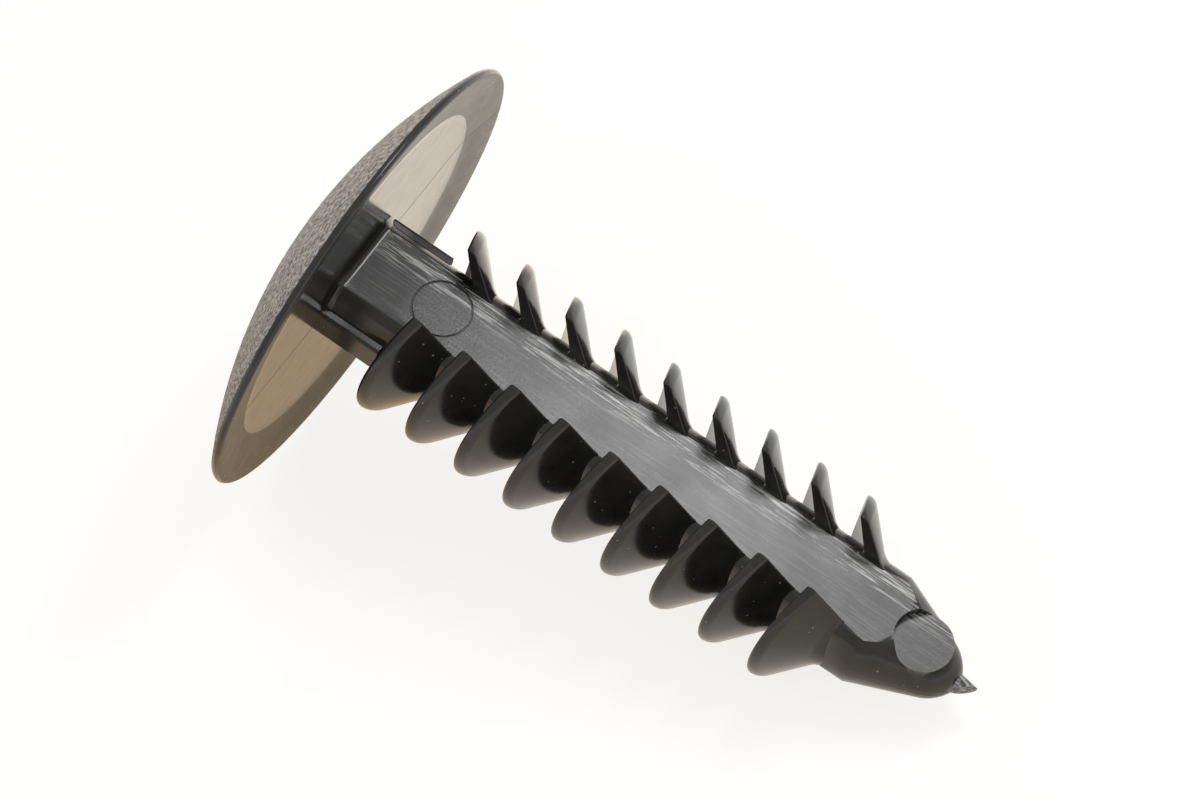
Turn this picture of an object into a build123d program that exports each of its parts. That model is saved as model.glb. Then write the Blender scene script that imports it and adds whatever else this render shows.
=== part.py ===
from build123d import *
import os
from math import atan, cos, degrees, hypot, isclose, radians, sin, tan

# Push-in trim rivet of the fir-tree kind: one nylon moulding. A thin domed head carries a round
# shank with two long flats, and nine pairs of flexible fins lean back toward the head from its
# rounded sides. Pushed into a panel hole the fins fold, then spread behind the panel.
#
# The rivet is drawn standing on its own axis: z = 0 is the seating plane of the head's rim, +Z runs
# to the nose, the flats face +Y and -Y, the fins reach out along +X and -X. The mould opens along Y.
# At the end the rivet is laid down, the way it rests on a table.

# ---- driving dimensions, in millimetres and degrees --------------------------------------------
HEAD_D = 20.0            # head diameter
HEAD_H = 2.85            # crown above the rim's seating plane
RIM_T = 0.30             # height of the head's outer edge
RIM_BREAK = 0.10         # bevel on both corners of that edge
DISH_DEPTH = 0.34        # how far the underside is hollowed below the rim
DISH_FLAT_R = 7.0        # radius of the hollow's flat floor
RIM_LAND = 0.30          # flat ring of the rim that seats on the panel

CORE_D = 4.96            # round shank
ACROSS_FLATS = 3.70      # thickness between the two long flats
FLAT_W = 2.80            # width of the flat between the feet of the fins
FLAT_EDGE = 0.16         # rounding of the flats' long edges
NECK_FILLET = 0.36       # where the neck meets the underside

WING_W = 5.46            # centring wings at the neck, tip to tip
WING_T = 1.58            # their thickness
WING_END = 2.52          # where they end, from the seating plane
WING_ROUND = 0.14        # rounding of the wings' edges

FIN_PAIRS = 9
FIN_D = 8.52             # diameter over the fins
FIN_FIRST = 2.58         # back corner of the first pair, from the seating plane
FIN_PITCH = 2.38
FIN_RIM_T = 0.46         # thickness at the rim, before its leading corner is bevelled
FIN_BACK = 36.1          # lean of the side that faces the head, from square to the shank
FIN_LEAD = 45.0          # lean of the side that faces the nose
FIN_SWEEP = 15.0         # lean of the axis that each fin is turned about
FIN_LEAD_BREAK = 0.21    # bevel on the rim's leading corner
WALL_DRAFT = 14.5        # slope of the fins' end walls from the mould's opening direction

NOSE_FROM = 25.15        # where the shank starts to taper
NOSE_TAPER = 21.8        # half angle of the taper
NOSE_ROUND_FROM = 28.0   # where the taper rounds over
NOSE_END = 28.95
NOSE_FACE_D = 1.00       # flat left on the end, round the gate
GATE_D = 0.88            # stub left by the gate
GATE_TIP_D = 0.60
GATE_LEN = 0.84          # to the tip of the tear
GATE_TEAR = 50.0         # slope of the tear across the stub

PIN_D = 2.56             # ejector pins
PIN_RING_W = 0.10        # witness line of the pin on the flat
PIN_RING_DEPTH = 0.06
NECK_PIN_Z = 3.65        # where the two pins struck, along the axis
NOSE_PIN_Z = 27.08
NOSE_PIN_Y = 1.38        # the nose pin's face, measured from the axis

# ---- sizes that follow ---------------------------------------------------------------------------
head_r = HEAD_D / 2
core_r = CORE_D / 2
flat_y = ACROSS_FLATS / 2
flat_half = FLAT_W / 2
fin_r = FIN_D / 2
floor_z = -DISH_DEPTH
crown_z = -HEAD_H
back_slope = tan(radians(FIN_BACK))
lead_slope = tan(radians(FIN_LEAD))
sweep = radians(FIN_SWEEP)
wall_slope = tan(radians(WALL_DRAFT))
last_fin_z = FIN_FIRST + (FIN_PAIRS - 1) * FIN_PITCH


def head():
    """Disc with a hollowed underside, its crown cut to a large ball."""
    edge = [
        (0, floor_z),
        (DISH_FLAT_R, floor_z),
        (head_r - RIM_LAND, 0),
        (head_r, 0),
        (head_r, crown_z),
        (0, crown_z),
        (0, floor_z),
    ]
    with BuildSketch(Plane.XZ) as section:
        with BuildLine():
            Polyline(*edge)
        make_face()
    rise = HEAD_H - RIM_T
    crown_r = (head_r ** 2 + rise ** 2) / (2 * rise)
    ball = Pos(0, 0, crown_z + crown_r) * Sphere(crown_r, rotation=(90, 0, 0))
    disc = revolve(section.sketch, Axis.Z) & ball
    rim = [e for e in disc.edges().filter_by(GeomType.CIRCLE) if isclose(e.radius, head_r)]
    return chamfer(rim, RIM_BREAK)


def shank():
    """Round bar with two flats and a tapered, rounded nose."""
    taper = tan(radians(NOSE_TAPER))
    round_start = (core_r - (NOSE_ROUND_FROM - NOSE_FROM) * taper, NOSE_ROUND_FROM)
    end_edge = (NOSE_FACE_D / 2, NOSE_END)
    with BuildSketch(Plane.XZ) as section:
        with BuildLine():
            Polyline((0, floor_z), (core_r, floor_z), (core_r, NOSE_FROM), round_start)
            TangentArc(round_start, end_edge, tangent=(-taper, 1))
            Polyline(end_edge, (0, NOSE_END), (0, floor_z))
        make_face()
    bar = revolve(section.sketch, Axis.Z)
    slab = Box(CORE_D * 2, ACROSS_FLATS, NOSE_END - floor_z, align=(Align.CENTER, Align.CENTER, Align.MIN))
    bar = bar & Pos(0, 0, floor_z) * slab
    long_edges = [e for e in bar.edges().filter_by(Axis.Z) if e.length > NOSE_FROM / 2]
    return fillet(long_edges, FLAT_EDGE)


def wings():
    """Two short centring ribs beside the neck, in the parting plane of the mould."""
    blank = Box(WING_W, WING_T, WING_END - floor_z, align=(Align.CENTER, Align.CENTER, Align.MIN))
    blank = fillet(blank.edges().filter_by(Axis.Z), WING_ROUND)
    return Pos(0, 0, floor_z) * blank


def fin_plan():
    """The space between the end walls of the right-hand fin, seen along the axis, open past its rim."""
    inner_y = flat_y - FLAT_EDGE
    inner_x = flat_half - FLAT_EDGE * wall_slope
    outer_y = FIN_D
    outer_x = inner_x + (outer_y - inner_y) * wall_slope
    with BuildSketch() as plan:
        with BuildLine():
            Polyline((inner_x, -inner_y), (outer_x, -outer_y), (outer_y, -outer_y), (outer_y, outer_y),
                     (outer_x, outer_y), (inner_x, inner_y), (inner_x, -inner_y))
        make_face()
    return plan.sketch


def fin():
    """One fin on the +X side, with the back corner of its rim at z = 0 on the X axis.

    The blade is turned about an axis that leans outward, so the fin's middle is swept furthest back
    and its front and rear corners, which the mould has to pull past, lie nearer the nose.
    """
    reach = fin_r - flat_half
    with BuildSketch(Plane.XZ) as section:
        with BuildLine():
            Polyline((fin_r, 0), (fin_r, FIN_RIM_T), (flat_half, FIN_RIM_T + lead_slope * reach),
                     (flat_half, back_slope * reach), (fin_r, 0))
        make_face()
        leading_corner = section.vertices().group_by(Axis.X)[-1].sort_by(Axis.Y)[-1]
        chamfer(leading_corner, FIN_LEAD_BREAK)
    turning_axis = Axis((fin_r * (1 - cos(sweep)), 0, fin_r * sin(sweep)), (sin(sweep), 0, cos(sweep)))
    ring = revolve(section.sketch, turning_axis)
    column = extrude(fin_plan(), amount=2 * FIN_D, both=True)
    return ring & column


def pin_witness():
    """Shallow ring that the ejector pin left on the flat by the neck."""
    ring = Circle(PIN_D / 2) - Circle(PIN_D / 2 - PIN_RING_W)
    face = Plane(origin=(0, flat_y, NECK_PIN_Z), x_dir=(1, 0, 0), z_dir=(0, 1, 0))
    return extrude(face * ring, amount=-PIN_RING_DEPTH)


def nose_pin():
    """Round pad that the second pin left across the end of the flat, sunk below it."""
    face = Plane(origin=(0, NOSE_PIN_Y, NOSE_PIN_Z), x_dir=(1, 0, 0), z_dir=(0, 1, 0))
    disc = face * Circle(PIN_D / 2)
    return extrude(disc, amount=-NOSE_PIN_Y), extrude(disc, amount=flat_y)


def gate_stub():
    """What is left of the gate on the nose, torn off at a slant."""
    upright = (Align.CENTER, Align.CENTER, Align.MIN)
    stub = Pos(0, 0, NOSE_END) * Cone(GATE_D / 2, GATE_TIP_D / 2, GATE_LEN, align=upright)
    slant = radians(GATE_TEAR)
    tear = Plane(origin=(GATE_TIP_D / 2, 0, NOSE_END + GATE_LEN), z_dir=(-sin(slant), 0, cos(slant)))
    return split(stub, bisect_by=tear, keep=Keep.BOTTOM)


def rivet():
    body = head() + shank()
    on_floor = body.edges().group_by(lambda e: abs(round(e.center().Z - floor_z, 4)))[0]
    foot = [e for e in on_floor if hypot(e.center().X, e.center().Y) < CORE_D]
    body = fillet(foot, NECK_FILLET) + wings()
    right = fin()
    left = mirror(right, Plane.YZ)
    for pair in range(FIN_PAIRS):
        lift = Pos(0, 0, FIN_FIRST + pair * FIN_PITCH)
        body += [lift * right, lift * left]
    pad, above = nose_pin()
    body = body - above + pad - pin_witness()
    return body + gate_stub()


def laid_down(body):
    """The rivet as it rests: back flat down, on the head's edge and the last pair of fins."""
    fin_foot = fin().vertices().sort_by(Axis.Y)[0]
    rise = head_r + fin_foot.Y
    lean = degrees(atan(rise / (last_fin_z + fin_foot.Z)))
    lying = Plane(origin=(0, 0, 0), x_dir=(0, 1, 0), z_dir=(1, 0, 0))
    placed = Rot(0, lean, 0) * lying.location * body
    box = placed.bounding_box()
    return Pos(-box.center().X, -box.center().Y, -box.min.Z) * placed


push_rivet = laid_down(rivet())
push_rivet.label = "push_rivet"
export_step(push_rivet, "parts/push_rivet.step")
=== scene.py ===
from math import acos, atan2, cos, hypot, pi as PI, radians, sin, sqrt, tan

import bpy
from mathutils import Matrix, Vector


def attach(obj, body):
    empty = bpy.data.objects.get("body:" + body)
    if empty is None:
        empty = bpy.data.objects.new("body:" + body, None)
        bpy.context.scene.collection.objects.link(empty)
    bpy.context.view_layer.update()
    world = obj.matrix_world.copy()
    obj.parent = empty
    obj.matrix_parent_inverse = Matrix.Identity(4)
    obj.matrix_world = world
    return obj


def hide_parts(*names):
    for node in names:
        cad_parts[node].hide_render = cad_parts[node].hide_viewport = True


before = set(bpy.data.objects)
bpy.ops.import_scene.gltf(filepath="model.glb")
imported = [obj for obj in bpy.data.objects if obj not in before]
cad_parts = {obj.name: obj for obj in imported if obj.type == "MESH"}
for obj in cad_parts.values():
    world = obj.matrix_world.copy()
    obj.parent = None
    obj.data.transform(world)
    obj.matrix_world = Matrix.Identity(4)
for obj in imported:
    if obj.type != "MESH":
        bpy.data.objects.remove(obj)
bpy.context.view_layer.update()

# The rivet lies on its back flat, the nose toward +X, leaning a little because the head's edge and the
# last fins carry it. Sizes are in metres, and MM turns a millimetre into one.
MM = 0.001
LEAN = radians(15.4635)                     # how far the axis dips toward the nose
SEAT_CENTRE = Vector((-12.6099, 0.0, 9.6701)) * MM   # middle of the head's seating plane
NOSEWARD = Vector((cos(LEAN), 0, -sin(LEAN)))         # along the shank
FLATWARD = Vector((sin(LEAN), 0, cos(LEAN)))          # square to the upper flat
# Across the shank, from the upper fins to the lower ones, as the camera sees them.
ACROSS = Vector((0, -1, 0))

# ---- camera -----------------------------------------------------------------------------------
FRAME_WIDTH = 1200            # pixels
PIXELS_PER_MM = 24.96
CAMERA_PIXELS = 7900          # distance to the object, in pixels at the object
SENSOR = 36.0                 # millimetres
TILT = radians(8.0)           # how far the camera sits toward the nose
SWING = radians(25.8)         # how far it sits toward the lower fins
ROLL = radians(34.22)         # slope of the shank across the frame
LOOK_ALONG = 269.6            # the point it looks at, in pixels from the seat's middle
LOOK_ACROSS = -33.0
SLIDE_ALONG = 1.2             # how far the whole view is slid, in pixels
SLIDE_ACROSS = 0.7


def place_camera():
    toward_camera = (cos(TILT) * cos(SWING) * FLATWARD + cos(TILT) * sin(SWING) * ACROSS
                     + sin(TILT) * NOSEWARD)
    along = cos(TILT) * NOSEWARD - sin(TILT) * (cos(SWING) * FLATWARD + sin(SWING) * ACROSS)
    across = cos(SWING) * ACROSS - sin(SWING) * FLATWARD
    right = cos(ROLL) * along - sin(ROLL) * across
    down = sin(ROLL) * along + cos(ROLL) * across
    pixel = MM / PIXELS_PER_MM
    look_at = SEAT_CENTRE + (LOOK_ALONG * NOSEWARD + LOOK_ACROSS * across) * pixel
    look_at -= (SLIDE_ALONG * along + SLIDE_ACROSS * across) * pixel
    eye = look_at + toward_camera * CAMERA_PIXELS * pixel
    lens = bpy.data.cameras.new("view_camera")
    lens.sensor_width = SENSOR
    lens.lens = SENSOR * CAMERA_PIXELS / FRAME_WIDTH
    lens.clip_start = 0.01
    camera = bpy.data.objects.new("view_camera", lens)
    bpy.context.collection.objects.link(camera)
    turned = Matrix((right, -down, toward_camera)).transposed()
    camera.matrix_world = Matrix.Translation(eye) @ turned.to_4x4()
    bpy.context.scene.camera = camera


# ---- node helpers -----------------------------------------------------------------------------
def new_material(name):
    material = bpy.data.materials.new(name)
    material.use_nodes = True
    return material, material.node_tree.nodes, material.node_tree.links


def mould_coordinates(nodes, links, stretch=(1, 1, 1)):
    """Millimetres in the mould's own directions: x noseward, y across the fins, z square to the flats."""
    place = nodes.new("ShaderNodeTexCoord")
    upright = nodes.new("ShaderNodeMapping")
    upright.vector_type = "TEXTURE"
    upright.inputs["Location"].default_value = SEAT_CENTRE
    upright.inputs["Rotation"].default_value = (0, LEAN, 0)
    upright.inputs["Scale"].default_value = (MM, MM, MM)
    links.new(place.outputs["Object"], upright.inputs["Vector"])
    if stretch == (1, 1, 1):
        return upright.outputs["Vector"]
    drawn_out = nodes.new("ShaderNodeMapping")
    drawn_out.inputs["Scale"].default_value = stretch
    links.new(upright.outputs["Vector"], drawn_out.inputs["Vector"])
    return drawn_out.outputs["Vector"]


def noise(nodes, links, vector, scale, detail=3.0, roughness=0.5):
    cloud = nodes.new("ShaderNodeTexNoise")
    cloud.inputs["Scale"].default_value = scale
    cloud.inputs["Detail"].default_value = detail
    cloud.inputs["Roughness"].default_value = roughness
    links.new(vector, cloud.inputs["Vector"])
    return cloud.outputs["Fac"]


def remap(nodes, links, value, low, high, to_low, to_high, smooth=False):
    span = nodes.new("ShaderNodeMapRange")
    if smooth:
        span.interpolation_type = "SMOOTHSTEP"
    for socket, amount in (("From Min", low), ("From Max", high), ("To Min", to_low), ("To Max", to_high)):
        span.inputs[socket].default_value = amount
    links.new(value, span.inputs["Value"])
    return span.outputs["Result"]


def calculate(nodes, links, operation, *values):
    step = nodes.new("ShaderNodeMath")
    step.operation = operation
    for socket, value in zip(step.inputs, values):
        if isinstance(value, (int, float)):
            socket.default_value = value
        else:
            links.new(value, socket)
    return step.outputs["Value"]


def split_axes(nodes, links, vector):
    axes = nodes.new("ShaderNodeSeparateXYZ")
    links.new(vector, axes.inputs["Vector"])
    return axes.outputs["X"], axes.outputs["Y"], axes.outputs["Z"]


def bump(nodes, links, height, depth_mm, normal=None):
    relief = nodes.new("ShaderNodeBump")
    relief.inputs["Strength"].default_value = 1.0
    relief.inputs["Distance"].default_value = depth_mm * MM
    links.new(height, relief.inputs["Height"])
    if normal is not None:
        links.new(normal, relief.inputs["Normal"])
    return relief.outputs["Normal"]


def tint(nodes, links, amount, from_colour, to_colour):
    """Mixes two colours. Each is written out, or comes from another node."""
    blend = nodes.new("ShaderNodeMix")
    blend.data_type = "RGBA"
    for socket, colour in (("A", from_colour), ("B", to_colour)):
        if isinstance(colour, tuple):
            blend.inputs[socket].default_value = (*colour, 1)
        else:
            links.new(colour, blend.inputs[socket])
    links.new(amount, blend.inputs["Factor"])
    return blend.outputs["Result"]


def dust(nodes, links, vector, cells_per_mm, largest):
    """Sparse round specks: 1 on a speck, 0 beside it."""
    cells = nodes.new("ShaderNodeTexVoronoi")
    cells.inputs["Scale"].default_value = cells_per_mm
    links.new(vector, cells.inputs["Vector"])
    chance, _, _ = split_axes(nodes, links, cells.outputs["Color"])
    size = remap(nodes, links, chance, 0.4, 1.0, 0.0, largest)
    return calculate(nodes, links, "LESS_THAN", cells.outputs["Distance"], size)


# ---- finishes ---------------------------------------------------------------------------------
BLACK = (0.021, 0.0206, 0.020)
WORN_BLACK = (0.038, 0.037, 0.036)
DUST = (0.32, 0.31, 0.29)
# Pale scratches, partly painted light: brightened to lift the shade the upper fins cast on the flats'
# upper edge.
SCUFF_AND_PAINTED_LIGHT = (0.48, 0.48, 0.475)
# Painted shade: the ejector pin's ring is coloured darker than the flat, standing in for the shade in its
# groove.
RING_PAINTED_SHADE = (0.012, 0.012, 0.012)
GRAIN_LOW = (0.17, 0.158, 0.145)
GRAIN_HIGH = (0.78, 0.715, 0.64)
TORN_FIBRE = (0.85, 0.85, 0.83)
NYLON_IOR = 1.53

# In millimetres along the shank, from the seat.
PARTING_MIDDLE = 12.8         # the parting line shows only further than the reach from this place
PARTING_REACH = 12.4
PARTING_HALF = 0.05
PIN_PLACE = 3.65              # the ejector pin's ring on the flat
PIN_RING_RADIUS = 1.23
PIN_RING_HALF = 0.040
NECK_DULL_FROM, NECK_DULL_TO = 1.9, 3.0
NOSE_DULL_FROM, NOSE_DULL_TO = 18.0, 25.0


def parting_line(nodes, links, vector):
    """1 along the line where the two mould halves met, fading out beside it."""
    along, _, height = split_axes(nodes, links, vector)
    beside = calculate(nodes, links, "ABSOLUTE", height)
    line = remap(nodes, links, beside, 0.0, PARTING_HALF, 1.0, 0.0, smooth=True)
    from_middle = calculate(nodes, links, "SUBTRACT", along, PARTING_MIDDLE)
    from_middle = calculate(nodes, links, "ABSOLUTE", from_middle)
    shows = calculate(nodes, links, "GREATER_THAN", from_middle, PARTING_REACH)
    return calculate(nodes, links, "MULTIPLY", line, shows)


def pin_ring(nodes, links, along, across):
    """1 on the ring that the ejector pin left on the flat, 0 beside it."""
    from_pin = calculate(nodes, links, "SUBTRACT", along, PIN_PLACE)
    from_pin = calculate(nodes, links, "MULTIPLY", from_pin, from_pin)
    squared = calculate(nodes, links, "MULTIPLY", across, across)
    from_pin = calculate(nodes, links, "SQRT", calculate(nodes, links, "ADD", from_pin, squared))
    off_ring = calculate(nodes, links, "SUBTRACT", from_pin, PIN_RING_RADIUS)
    off_ring = calculate(nodes, links, "ABSOLUTE", off_ring)
    return calculate(nodes, links, "LESS_THAN", off_ring, PIN_RING_HALF)


def moulded_nylon(name, glossy, dull):
    """Smooth from the mould, between these two roughnesses, with a faint skin and fine specks."""
    material, nodes, links = new_material(name)
    shader = nodes["Principled BSDF"]
    spot = mould_coordinates(nodes, links)
    specks = dust(nodes, links, spot, cells_per_mm=2.4, largest=0.13)
    cloudy = remap(nodes, links, noise(nodes, links, spot, 0.7), 0.35, 0.7, 0.0, 1.0)
    skin = tint(nodes, links, cloudy, BLACK, WORN_BLACK)
    links.new(tint(nodes, links, specks, skin, DUST), shader.inputs["Base Color"])
    gloss = remap(nodes, links, noise(nodes, links, spot, 1.6, detail=5), 0.3, 0.7, glossy, dull)
    links.new(gloss, shader.inputs["Roughness"])
    shader.inputs["IOR"].default_value = NYLON_IOR
    skin_relief = bump(nodes, links, noise(nodes, links, spot, 1.3, detail=2), 0.003)
    relief = bump(nodes, links, parting_line(nodes, links, spot), 0.02, skin_relief)
    links.new(relief, shader.inputs["Normal"])
    return material


def satin_flat():
    """The long flats: duller, with flow marks and scratches along the shank, more by the upper edge. Their
    pale colour there is partly painted light, brightened against the shade the upper fins cast on the
    flat.
    """
    material, nodes, links = new_material("satin_flat")
    shader = nodes["Principled BSDF"]
    spot = mould_coordinates(nodes, links)
    drawn = mould_coordinates(nodes, links, (0.4, 9.0, 1.0))
    along, across, _ = split_axes(nodes, links, spot)
    ring = pin_ring(nodes, links, along, across)
    by_the_edge = remap(nodes, links, across, 0.2, 0.9, 0.10, 1.0, smooth=True)
    streaks = noise(nodes, links, drawn, 1.4, detail=4, roughness=0.6)
    streaks = remap(nodes, links, streaks, 0.50, 0.60, 0.0, 1.0)
    marks = calculate(nodes, links, "MULTIPLY", streaks, by_the_edge)
    blotches = noise(nodes, links, spot, 0.55, detail=4)
    worn = remap(nodes, links, blotches, 0.3, 0.7, 0.0, 1.0)
    skin = tint(nodes, links, worn, BLACK, WORN_BLACK)
    # The scratches' pale colour is partly painted light, lifting the fins' shade by the upper edge.
    scuffs_and_painted_light = tint(nodes, links, marks, skin, SCUFF_AND_PAINTED_LIGHT)
    # The pin's ring is painted darker here, as painted shade for its groove.
    links.new(tint(nodes, links, ring, scuffs_and_painted_light, RING_PAINTED_SHADE), shader.inputs["Base Color"])
    dull = remap(nodes, links, blotches, 0.3, 0.7, 0.23, 0.29)
    by_neck = remap(nodes, links, along, NECK_DULL_FROM, NECK_DULL_TO, 0.16, 0.0, smooth=True)
    by_nose = remap(nodes, links, along, NOSE_DULL_FROM, NOSE_DULL_TO, 0.0, 0.05, smooth=True)
    dull = calculate(nodes, links, "ADD", dull, calculate(nodes, links, "ADD", by_neck, by_nose))
    dull = calculate(nodes, links, "ADD", dull, calculate(nodes, links, "MULTIPLY", ring, 0.14))
    rough = calculate(nodes, links, "MULTIPLY_ADD", marks, -0.10, dull)
    links.new(rough, shader.inputs["Roughness"])
    shader.inputs["IOR"].default_value = NYLON_IOR
    fine = bump(nodes, links, noise(nodes, links, spot, 9.0, detail=3), 0.004)
    links.new(bump(nodes, links, marks, 0.002, fine), shader.inputs["Normal"])
    return material


def grained_crown():
    """The crown's coarse spark-eroded grain, in colours far paler than black nylon, paler still on the
    grain's tops.
    """
    material, nodes, links = new_material("grained_crown")
    shader = nodes["Principled BSDF"]
    spot = mould_coordinates(nodes, links)
    grain = noise(nodes, links, spot, 5.4, detail=5, roughness=0.68)
    tops = remap(nodes, links, grain, 0.41, 0.61, 0.0, 1.0)
    links.new(tint(nodes, links, tops, GRAIN_LOW, GRAIN_HIGH), shader.inputs["Base Color"])
    links.new(remap(nodes, links, tops, 0.0, 1.0, 0.62, 0.42), shader.inputs["Roughness"])
    shader.inputs["IOR"].default_value = NYLON_IOR
    links.new(bump(nodes, links, grain, 0.10), shader.inputs["Normal"])
    return material


def torn_stub():
    """The torn gate: stretched, whitened fibres."""
    material, nodes, links = new_material("torn_stub")
    shader = nodes["Principled BSDF"]
    drawn = mould_coordinates(nodes, links, (0.6, 2.5, 2.5))
    fibres = noise(nodes, links, drawn, 3.0, detail=5, roughness=0.65)
    whitened = remap(nodes, links, fibres, 0.4, 0.65, 0.0, 1.0)
    links.new(tint(nodes, links, whitened, WORN_BLACK, TORN_FIBRE), shader.inputs["Base Color"])
    links.new(remap(nodes, links, fibres, 0.3, 0.7, 0.35, 0.6), shader.inputs["Roughness"])
    links.new(bump(nodes, links, fibres, 0.10), shader.inputs["Normal"])
    return material


# ---- the moulding -----------------------------------------------------------------------------
# Millimetres and radians. A piece is modelled upright, its axis along Z, the fins along X and the flats
# facing Y, and laid down at the end.
HEAD_RADIUS = 10.0
DISH_FLOOR_RADIUS = 7.0
DISH_WIDE_RADIUS = 7.7        # the hollow's floor is widened to here, before it slopes up to the rim
DISH_RIM_RADIUS = 9.7
DISH_DEPTH = 0.34
DISH_EDGE_ROUND = 0.45
FLAT_HEIGHT = 1.85
FLAT_HALF = 1.40
FLAT_EDGE = 0.16
FLAT_SHOULDER = 0.66          # wider rounding of the flats' long edges, as the mould leaves it
SHANK_RADIUS = 2.48
NOSE_PAD_HEIGHT = 1.38
NOSE_END = 28.95
NOSE_FROM = 25.15
STUB_RADIUS = 0.5
RIM_ROUND = 0.04
WING_END = 2.53

FIN_RADIUS = 4.26
FIN_FIRST = 2.58
FIN_PITCH = 2.38
FIN_PAIRS = 9
FIN_RIM_THICKNESS = 0.46
FIN_BACK_SLOPE = tan(radians(36.1))
FIN_SWEEP = radians(15)
FIN_WALL_SLOPE = tan(radians(14.5))
FIN_BACK_ROUND = 0.24         # roundings, as the length they take off each side of a corner
FIN_LEAD_ROUND = 0.21
FIN_BACK_ROOT = 0.24
FIN_LEAD_ROOT = 0.42
FIN_WALL_ROUND = 0.09
FIN_ROOT_REACH = 0.54         # how far a fin's root runs on, just under the shank's skin
SKIN = 0.012
FIN_STEPS = 26
HALF_SPIN = radians(70)

# The moulding's finishes, in the order of its material slots.
POLISHED, SATIN, GRAINED, TORN, BORDER = range(5)


def laid_down():
    turned = Matrix(((0, 1, 0), FLATWARD, NOSEWARD)).transposed().to_4x4()
    return Matrix.Translation(SEAT_CENTRE) @ turned @ Matrix.Scale(MM, 4)


def mould_place(point):
    """A point's place in millimetres: noseward, across, and square to the flats."""
    offset = Vector(point) - SEAT_CENTRE
    return offset.dot(NOSEWARD) / MM, offset.y / MM, offset.dot(FLATWARD) / MM


def only(piece):
    bpy.ops.object.select_all(action="DESELECT")
    piece.select_set(True)
    bpy.context.view_layer.objects.active = piece


def push_out(vertex, share):
    """Moves a vertex straight away from the axis, by that share of its distance."""
    _, across, height = mould_place(vertex.co)
    vertex.co += (across * Vector((0, 1, 0)) + height * FLATWARD) * share * MM


def select_in_mesh(mesh, vertices=(), edges=(), faces=()):
    """Exactly these are selected. Called in object mode."""
    for items, wanted in ((mesh.vertices, vertices), (mesh.edges, edges), (mesh.polygons, faces)):
        wanted = set(wanted)
        for item in items:
            item.select = item.index in wanted


def edit(mode):
    """Enters edit mode, taking the selection made in code as it is: of vertices, edges or faces."""
    bpy.context.tool_settings.mesh_select_mode = [mode == kind for kind in ("VERT", "EDGE", "FACE")]
    bpy.ops.object.mode_set(mode="EDIT")


def leave_edit():
    bpy.ops.object.mode_set(mode="OBJECT")


def bevel_edges(piece, edges, width, segments):
    """Bevels exactly these edges, to a width in millimetres."""
    mesh = piece.data
    ends = [i for index in edges for i in mesh.edges[index].vertices]
    select_in_mesh(mesh, ends, edges)
    only(piece)
    edit("EDGE")
    bpy.ops.mesh.bevel(offset=width * MM, segments=segments, affect="EDGES", clamp_overlap=False)
    leave_edit()


def merged_copy(node, name):
    piece = node.copy()
    piece.data = node.data.copy()
    piece.name = name
    piece.data.name = name
    bpy.context.collection.objects.link(piece)
    piece.parent = None
    piece.matrix_world = Matrix.Identity(4)
    only(piece)
    bpy.ops.mesh.customdata_custom_splitnormals_clear()
    edit("VERT")
    bpy.ops.mesh.select_all(action="SELECT")
    bpy.ops.mesh.remove_doubles(threshold=0.001 * MM)
    leave_edit()
    return piece


def round_rim(piece):
    """Softens both corners of the head's outer edge."""
    only(piece)
    edit("EDGE")
    bpy.ops.mesh.select_all(action="DESELECT")
    bpy.ops.mesh.edges_select_sharp(sharpness=radians(12))
    leave_edit()
    mesh = piece.data
    rim = []
    for edge in mesh.edges:
        middle = (mesh.vertices[edge.vertices[0]].co + mesh.vertices[edge.vertices[1]].co) / 2
        along, across, height = mould_place(middle)
        if edge.select and along < 0.02 and hypot(across, height) > HEAD_RADIUS - 0.5:
            rim.append(edge.index)
    bevel_edges(piece, rim, RIM_ROUND, 2)


def clear_fins(piece):
    """Takes the plain fins off the shank and closes it, so that the shaped ones can stand there."""
    mesh = piece.data
    places = [mould_place(vertex.co) for vertex in mesh.vertices]
    plain = []
    for face in mesh.polygons:
        corners = [places[i] for i in face.vertices]
        outside = max(hypot(across, height) for _, across, height in corners) > SHANK_RADIUS + 0.1
        if outside and min(along for along, _, _ in corners) > WING_END:
            plain.append(face.index)
    select_in_mesh(mesh, [i for index in plain for i in mesh.polygons[index].vertices], (), plain)
    only(piece)
    edit("FACE")
    bpy.ops.mesh.delete(type="FACE")
    bpy.ops.mesh.select_all(action="SELECT")
    bpy.ops.mesh.fill_holes(sides=0)
    leave_edit()


def soften_shoulders(piece):
    """Narrows the flats a little and rounds the shank down to them with a wider arc."""
    centre_height = FLAT_HEIGHT - FLAT_SHOULDER
    centre_across = sqrt((SHANK_RADIUS - FLAT_SHOULDER) ** 2 - centre_height ** 2)
    only(piece)
    for side in (-1, 1):
        edit("FACE")
        bpy.ops.mesh.select_all(action="SELECT")
        bpy.ops.mesh.bisect(plane_co=(0, side * centre_across * MM, 0), plane_no=(0, 1, 0))
        leave_edit()
    first = atan2(centre_across, FLAT_HEIGHT)
    last = atan2(centre_across, centre_height)
    for vertex in piece.data.vertices:
        along, across, height = mould_place(vertex.co)
        turn = atan2(abs(across), abs(height))
        if not (0.04 < along < NOSE_FROM + 0.02 and first - 0.002 < turn < last):
            continue
        facing = centre_across * sin(turn) + centre_height * cos(turn)
        reach = facing + sqrt(FLAT_SHOULDER ** 2 - centre_across ** 2 - centre_height ** 2 + facing ** 2)
        radius = hypot(across, height)
        if reach < radius < SHANK_RADIUS + 0.02:
            push_out(vertex, reach / radius - 1)


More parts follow.
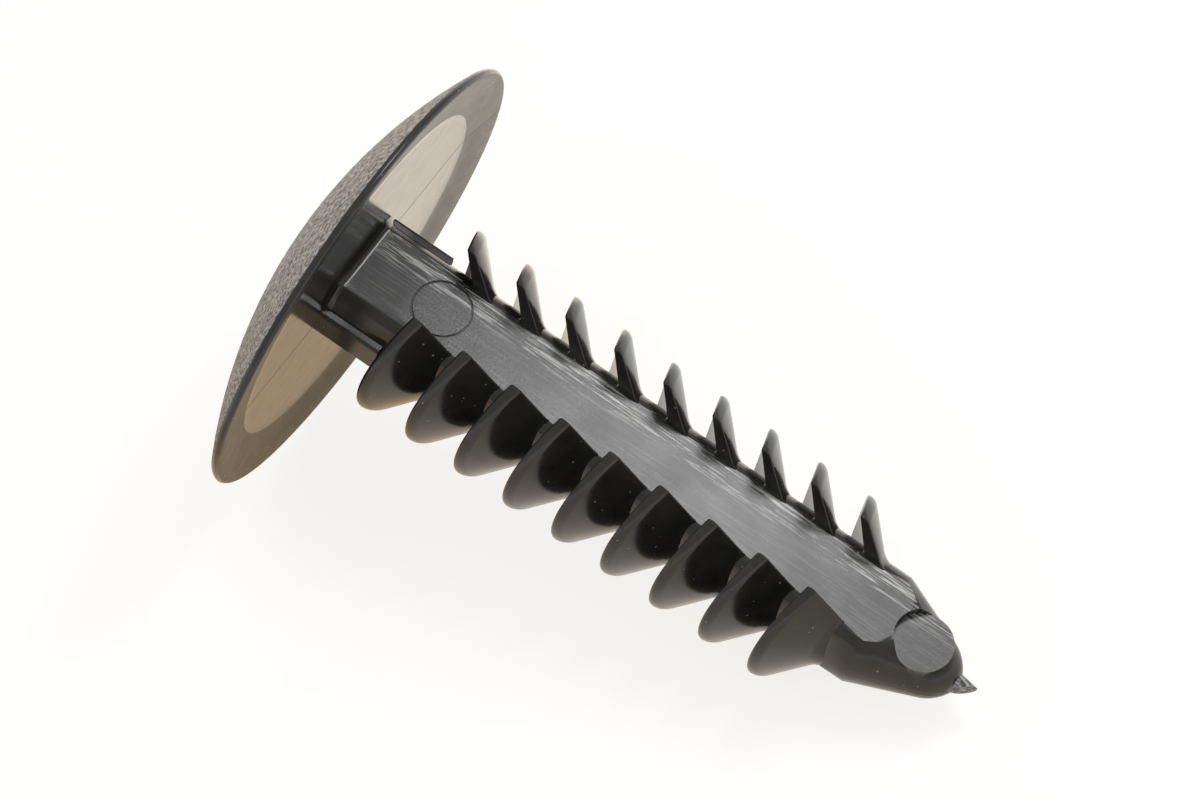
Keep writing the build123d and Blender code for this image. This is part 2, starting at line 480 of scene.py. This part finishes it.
def widen_dish(piece):
    """Draws the edge of the hollow's floor outward, so its border rises more steeply to the rim."""
    border = DISH_RIM_RADIUS - DISH_FLOOR_RADIUS
    steeper = (DISH_RIM_RADIUS - DISH_WIDE_RADIUS) / border
    for vertex in piece.data.vertices:
        along, across, height = mould_place(vertex.co)
        radius = hypot(across, height)
        out = radius - DISH_FLOOR_RADIUS
        border_along = -DISH_DEPTH * (1 - out / border)
        if -0.15 < out < border - 0.02 and abs(along - border_along) < 0.05:
            push_out(vertex, (DISH_WIDE_RADIUS + max(out, 0) * steeper) / radius - 1)


def soften_dish(piece):
    """The edge between the hollow's floor and its border is a wide, soft one."""
    on_edge = []
    for vertex in piece.data.vertices:
        along, across, height = mould_place(vertex.co)
        at_radius = abs(hypot(across, height) - DISH_WIDE_RADIUS) < 0.05
        on_edge.append(at_radius and abs(along + DISH_DEPTH) < 0.02)
    ring = [edge.index for edge in piece.data.edges if all(on_edge[i] for i in edge.vertices)]
    bevel_edges(piece, ring, DISH_EDGE_ROUND, 4)


def blunt_corner(piece, place, length, segments):
    """Rounds the section's corner nearest to a place, taking that length off both sides."""
    mesh = piece.data
    corner = min(mesh.vertices, key=lambda vertex: (vertex.co - Vector(place)).length)
    select_in_mesh(mesh, [corner.index])
    edit("VERT")
    bpy.ops.mesh.bevel(offset=length, segments=segments, profile=0.5, affect="VERTICES",
                       clamp_overlap=False)
    leave_edit()


def make_fin():
    """One fin on the +X side, upright, its back corner at z = 0 before it is rounded.

    Its section is turned about an axis that leans outward. Each ring of the turn is then closed or
    opened like a fan until its ends lie in the fin's two end walls.
    """
    root = SHANK_RADIUS - SKIN
    back_root = (FIN_RADIUS - root) * FIN_BACK_SLOPE
    lead_root = FIN_RIM_THICKNESS + FIN_RADIUS - root
    core = FLAT_HALF + 0.2
    corners = [(FIN_RADIUS, 0), (FIN_RADIUS, FIN_RIM_THICKNESS), (root, lead_root),
               (root, lead_root + FIN_ROOT_REACH), (core, lead_root + FIN_ROOT_REACH),
               (core, back_root - FIN_ROOT_REACH), (root, back_root - FIN_ROOT_REACH), (root, back_root)]
    bpy.ops.object.select_all(action="DESELECT")
    bpy.ops.mesh.primitive_circle_add(vertices=len(corners), radius=1, fill_type="NGON")
    fin = bpy.context.object
    fin.name = "fin"
    for vertex, (out, up) in zip(fin.data.vertices, corners):
        vertex.co = (out, 0, up)
    blunt_corner(fin, (FIN_RADIUS, 0, 0), FIN_BACK_ROUND, 5)
    blunt_corner(fin, (FIN_RADIUS, 0, FIN_RIM_THICKNESS), FIN_LEAD_ROUND, 4)
    blunt_corner(fin, (root, 0, lead_root), FIN_LEAD_ROOT, 4)
    blunt_corner(fin, (root, 0, back_root), FIN_BACK_ROOT, 4)

    pivot = Vector((FIN_RADIUS * (1 - cos(FIN_SWEEP)), 0, FIN_RADIUS * sin(FIN_SWEEP)))
    axis = Vector((sin(FIN_SWEEP), 0, cos(FIN_SWEEP)))
    outward = Vector((cos(FIN_SWEEP), 0, -sin(FIN_SWEEP)))
    sideways = axis.cross(outward)
    first_turn = (Matrix.Translation(pivot) @ Matrix.Rotation(-HALF_SPIN, 4, axis)
                  @ Matrix.Translation(-pivot))
    fin.data.transform(first_turn)
    only(fin)
    edit("VERT")
    bpy.ops.mesh.select_all(action="SELECT")
    bpy.ops.mesh.spin(steps=FIN_STEPS, angle=-2 * HALF_SPIN, center=pivot, axis=axis)
    bpy.ops.mesh.select_all(action="SELECT")
    bpy.ops.mesh.remove_doubles(threshold=0.0001)
    bpy.ops.mesh.normals_make_consistent(inside=False)
    leave_edit()

    wall_foot = (FLAT_HALF - FLAT_EDGE * FIN_WALL_SLOPE) - (FLAT_HEIGHT - FLAT_EDGE) * FIN_WALL_SLOPE
    ends = []
    for vertex in fin.data.vertices:
        offset = vertex.co - pivot
        rise = offset.dot(axis)
        reach = hypot(offset.dot(outward), offset.dot(sideways))
        turn = atan2(offset.dot(sideways), offset.dot(outward))
        level = pivot.x + rise * axis.x - wall_foot
        swing = hypot(reach * outward.x, reach * FIN_WALL_SLOPE)
        wall_turn = acos(max(-1, min(1, -level / swing))) - atan2(FIN_WALL_SLOPE, outward.x)
        share = turn / HALF_SPIN
        vertex.co = pivot + rise * axis + reach * (cos(share * wall_turn) * outward
                                                   + sin(share * wall_turn) * sideways)
        if abs(share) > 0.999:
            ends.append(vertex.index)
    on_wall = set(ends)
    wall_edges = [edge.index for edge in fin.data.edges if on_wall.issuperset(edge.vertices)]
    select_in_mesh(fin.data, ends, wall_edges)
    edit("EDGE")
    bpy.ops.mesh.bevel(offset=FIN_WALL_ROUND, segments=3, profile=0.5, affect="EDGES", clamp_overlap=False)
    leave_edit()
    return fin


def set_fins():
    """Nine pairs along the shank, each fin with its own mesh."""
    pattern = make_fin()
    fins = []
    for pair in range(FIN_PAIRS):
        for turned in (0, PI):
            fin = pattern.copy()
            fin.data = pattern.data.copy()
            bpy.context.collection.objects.link(fin)
            lift = Matrix.Translation((0, 0, FIN_FIRST + pair * FIN_PITCH))
            fin.data.transform(laid_down() @ lift @ Matrix.Rotation(turned, 4, "Z"))
            fins.append(fin)
    bpy.data.objects.remove(pattern)
    return fins


def finish_of(face):
    along, across, height = mould_place(face.center)
    radius = hypot(across, height)
    if along > NOSE_END - 0.01 and radius < STUB_RADIUS:
        return TORN
    if along < -0.02 and face.normal.dot(NOSEWARD) < -0.6:
        return GRAINED
    if radius > DISH_WIDE_RADIUS and face.normal.dot(NOSEWARD) > 0.9:
        return BORDER
    square = abs(face.normal.dot(FLATWARD)) > 0.995
    if square and 0.2 < along < 28.5 and abs(height) > NOSE_PAD_HEIGHT - 0.02 and abs(across) < 1.6:
        return SATIN
    return POLISHED


def make_rivet():
    piece = merged_copy(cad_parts["push_rivet"], "rivet_moulding")
    clear_fins(piece)
    soften_shoulders(piece)
    widen_dish(piece)
    soften_dish(piece)
    round_rim(piece)
    piece.data.materials.clear()
    for material in (moulded_nylon("polished_nylon", 0.15, 0.20), satin_flat(), grained_crown(),
                     torn_stub(), moulded_nylon("border_nylon", 0.36, 0.42)):   # in the slots' order
        piece.data.materials.append(material)
    for face in piece.data.polygons:
        face.material_index = finish_of(face)
    fins = set_fins()
    bpy.ops.object.select_all(action="DESELECT")
    for fin in fins:
        fin.data.materials.clear()
        fin.data.materials.append(piece.data.materials[POLISHED])
        fin.select_set(True)
    piece.select_set(True)
    bpy.context.view_layer.objects.active = piece
    bpy.ops.object.join()
    only(piece)
    bpy.ops.object.shade_smooth_by_angle(angle=radians(36))
    weighted = piece.modifiers.new("even_shading", "WEIGHTED_NORMAL")
    weighted.keep_sharp = True
    bpy.ops.object.modifier_apply(modifier=weighted.name)
    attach(piece, "root")
    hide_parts("push_rivet")


# ---- table and light --------------------------------------------------------------------------
TABLE = (0.32, 0.315, 0.305)
TABLE_GLOW = (1.0, 0.985, 0.96)
TABLE_GLOW_STRENGTH = 0.82    # for the camera and for what the plastic mirrors
HORIZON = (0.56, 0.53, 0.49)
ZENITH = (0.50, 0.50, 0.50)
KEY_TOWARD = (0.180, 0.431, 0.890)
KEY_DISTANCE = 0.09           # metres, as are the lamp's sides
KEY_SIDES = (0.028, 0.030)
KEY_WATTS = 0.0225
LAMP_AIM = Vector((0, 0, 0.008))
CARD_SIDE = 60 * MM
# The card's glow colours, seen only in reflections: they paint the reflections on the head's underside and
# on the fins.
HEAD_TONES = (0.84, 0.64, 0.41), (1.58, 1.41, 1.20)      # near the lower fins, near the upper ones
SHANK_TONES = (0.84, 0.76, 0.66), (1.00, 0.97, 0.93)


def lay_floor():
    bpy.ops.object.select_all(action="DESELECT")
    bpy.ops.mesh.primitive_plane_add(size=3.0, location=(0, 0, 0))
    floor = bpy.context.object
    floor.name = "table_top"
    material, nodes, links = new_material("white_table")
    nodes.remove(nodes["Principled BSDF"])
    matt = nodes.new("ShaderNodeBsdfDiffuse")
    matt.inputs["Color"].default_value = (*TABLE, 1)
    glow = nodes.new("ShaderNodeEmission")
    glow.inputs["Color"].default_value = (*TABLE_GLOW, 1)
    rays = nodes.new("ShaderNodeLightPath")
    seen = calculate(nodes, links, "MAXIMUM", rays.outputs["Is Camera Ray"], rays.outputs["Is Glossy Ray"])
    seen = calculate(nodes, links, "MAXIMUM", seen, rays.outputs["Is Transmission Ray"])
    strength = calculate(nodes, links, "MULTIPLY", seen, TABLE_GLOW_STRENGTH)
    links.new(strength, glow.inputs["Strength"])
    both = nodes.new("ShaderNodeAddShader")
    links.new(matt.outputs["BSDF"], both.inputs[0])
    links.new(glow.outputs["Emission"], both.inputs[1])
    links.new(both.outputs["Shader"], nodes["Material Output"].inputs["Surface"])
    floor.data.materials.append(material)


def light_room():
    world = bpy.data.worlds.new("studio")
    bpy.context.scene.world = world
    world.use_nodes = True
    nodes, links = world.node_tree.nodes, world.node_tree.links
    sky = nodes["Background"]
    direction = nodes.new("ShaderNodeTexCoord")
    _, _, height = split_axes(nodes, links, direction.outputs["Generated"])
    upward = remap(nodes, links, height, 0.05, 0.75, 0.0, 1.0, smooth=True)
    links.new(tint(nodes, links, upward, HORIZON, ZENITH), sky.inputs["Color"])
    sky.inputs["Strength"].default_value = 1.0


def soft_box():
    """One rectangular lamp above the upper fins, facing the rivet."""
    name = "key_box"
    toward = Vector(KEY_TOWARD).normalized()
    lamp = bpy.data.lights.new(name, "AREA")
    lamp.shape = "RECTANGLE"
    lamp.size, lamp.size_y = KEY_SIDES
    lamp.energy = KEY_WATTS
    box = bpy.data.objects.new(name, lamp)
    bpy.context.collection.objects.link(box)
    box.location = LAMP_AIM + toward * KEY_DISTANCE
    box.rotation_euler = toward.to_track_quat("Z", "Y").to_euler()
    box.visible_camera = False


def lay_card():
    """A glowing card on the table, seen neither by the camera nor by diffuse light, only in the glossy
    plastic's reflections: its tones paint the reflections on the head's underside and on the fins.
    """
    bpy.ops.object.select_all(action="DESELECT")
    bpy.ops.mesh.primitive_plane_add(size=1, location=(0, 0, 0.1 * MM))
    card = bpy.context.object
    card.name = "glowing_reflection_card"
    card.scale = (CARD_SIDE, CARD_SIDE, 1)
    bpy.ops.object.transform_apply(location=False, rotation=False, scale=True)
    material, nodes, links = new_material("glowing_reflection_card")
    nodes.remove(nodes["Principled BSDF"])
    place = nodes.new("ShaderNodeTexCoord")
    along, across, _ = split_axes(nodes, links, place.outputs["Object"])
    by_head = remap(nodes, links, along, -10 * MM, -6 * MM, 1.0, 0.0, smooth=True)
    far_side = remap(nodes, links, across, 1 * MM, 6 * MM, 0.0, 1.0, smooth=True)
    head_tone = tint(nodes, links, far_side, *HEAD_TONES)
    shank_tone = tint(nodes, links, far_side, *SHANK_TONES)
    glow = nodes.new("ShaderNodeEmission")
    links.new(tint(nodes, links, by_head, shank_tone, head_tone), glow.inputs["Color"])
    links.new(glow.outputs["Emission"], nodes["Material Output"].inputs["Surface"])
    card.data.materials.append(material)
    card.visible_camera = False
    card.visible_diffuse = False
    card.visible_shadow = False


place_camera()
bpy.context.scene.view_settings.view_transform = "Standard"
lay_floor()
light_room()
soft_box()
lay_card()
make_rivet()
